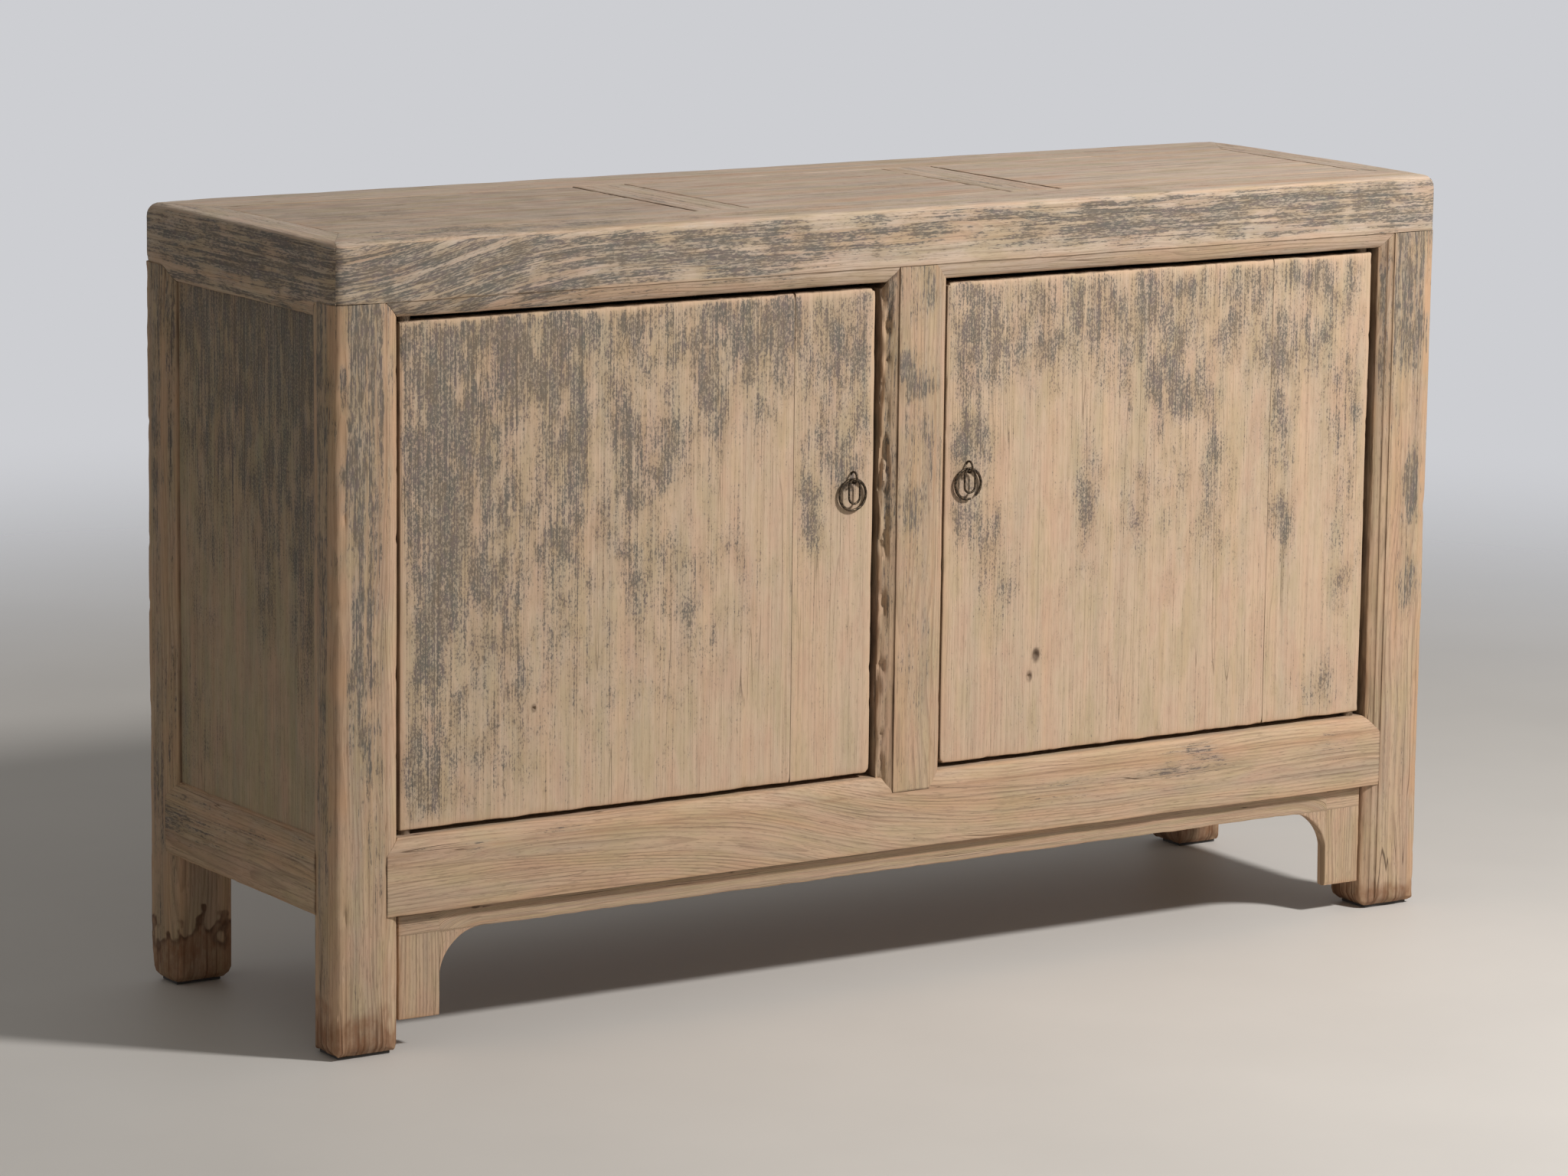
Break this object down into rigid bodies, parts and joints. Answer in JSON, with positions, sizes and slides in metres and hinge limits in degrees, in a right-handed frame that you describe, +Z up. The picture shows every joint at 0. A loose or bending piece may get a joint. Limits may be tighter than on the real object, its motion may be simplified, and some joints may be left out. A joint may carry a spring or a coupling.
{
  "type": "kang cabinet",
  "caption": "Low rectangular elm cabinet with a mitred panelled top, moulded posts, a bracketed apron and hinged board doors drawn open by iron rings.",
  "frame": {"origin": "centre of the footprint at ground level", "axes": "+X to the right along the cabinet's length, +Y from the doors to the back, +Z up"},
  "size_m": [1.4, 0.42, 0.834],
  "materials": {
    "frame_elm": "weathered elm with traces of old paint",
    "top_elm": "weathered elm, rubbed smooth",
    "door_elm": "weathered elm with grey paint left in the grain",
    "side_elm": "weathered elm with grey paint left in the grain",
    "inner_elm": "sawn elm, unfinished",
    "wrought_iron": "dark forged iron",
    "foot_felt": "dense felt"
  },
  "bodies": {
    "carcass": {"leg_front_left": "frame_elm", "leg_front_right": "frame_elm", "leg_back_left": "frame_elm", "leg_back_right": "frame_elm", "foot_pad_front_left": "foot_felt", "foot_pad_front_right": "foot_felt", "foot_pad_back_left": "foot_felt", "foot_pad_back_right": "foot_felt", "top_front_rail": "top_elm", "top_back_rail": "top_elm", "top_end_rail_left": "top_elm", "top_end_rail_right": "top_elm", "top_cross_rail_left": "top_elm", "top_cross_rail_right": "top_elm", "top_panel_left": "top_elm", "top_panel_middle": "top_elm", "top_panel_right": "top_elm", "centre_stile": "frame_elm", "back_centre_stile": "inner_elm", "bottom_front_rail": "frame_elm", "bottom_back_rail": "inner_elm", "bottom_side_rail_left": "frame_elm", "bottom_side_rail_right": "frame_elm", "front_apron": "frame_elm", "side_panel_left": "side_elm", "side_panel_right": "side_elm", "back_panel_left": "inner_elm", "back_panel_right": "inner_elm", "floor_board_front": "inner_elm", "floor_board_middle": "inner_elm", "floor_board_back": "inner_elm", "floor_bearer": "inner_elm"},
    "door_left": {"door_left_pin_board": "door_elm", "door_left_pull_board": "door_elm", "door_left_batten_upper": "inner_elm", "door_left_batten_lower": "inner_elm", "pull_eye_left": "wrought_iron"},
    "door_right": {"door_right_pin_board": "door_elm", "door_right_pull_board": "door_elm", "door_right_batten_upper": "inner_elm", "door_right_batten_lower": "inner_elm", "pull_eye_right": "wrought_iron"},
    "ring_left": {"pull_ring_left": "wrought_iron"},
    "ring_right": {"pull_ring_right": "wrought_iron"},
    "link_left": {"pull_link_left": "wrought_iron"},
    "link_right": {"pull_link_right": "wrought_iron"}
  },
  "joints": [
    {"name": "left_door_hinge", "type": "hinge", "parent": "carcass", "child": "door_left", "pos_m": [-0.609, -0.187, 0.49], "axis": [0, 0, 1], "range_deg": [-100, 0]},
    {"name": "right_door_hinge", "type": "hinge", "parent": "carcass", "child": "door_right", "pos_m": [0.609, -0.187, 0.49], "axis": [0, 0, 1], "range_deg": [0, 100]},
    {"name": "left_ring_swing", "type": "hinge", "parent": "door_left", "child": "ring_left", "pos_m": [-0.074, -0.1998, 0.5488], "axis": [-1, 0, 0], "range_deg": [0, 170]},
    {"name": "right_ring_swing", "type": "hinge", "parent": "door_right", "child": "ring_right", "pos_m": [0.074, -0.1998, 0.5488], "axis": [-1, 0, 0], "range_deg": [0, 170]},
    {"name": "left_link_swing", "type": "hinge", "parent": "door_left", "child": "link_left", "pos_m": [-0.074, -0.2032, 0.5488], "axis": [-1, 0, 0], "range_deg": [0, 170]},
    {"name": "right_link_swing", "type": "hinge", "parent": "door_right", "child": "link_right", "pos_m": [0.074, -0.2032, 0.5488], "axis": [-1, 0, 0], "range_deg": [0, 170]}
  ]
}
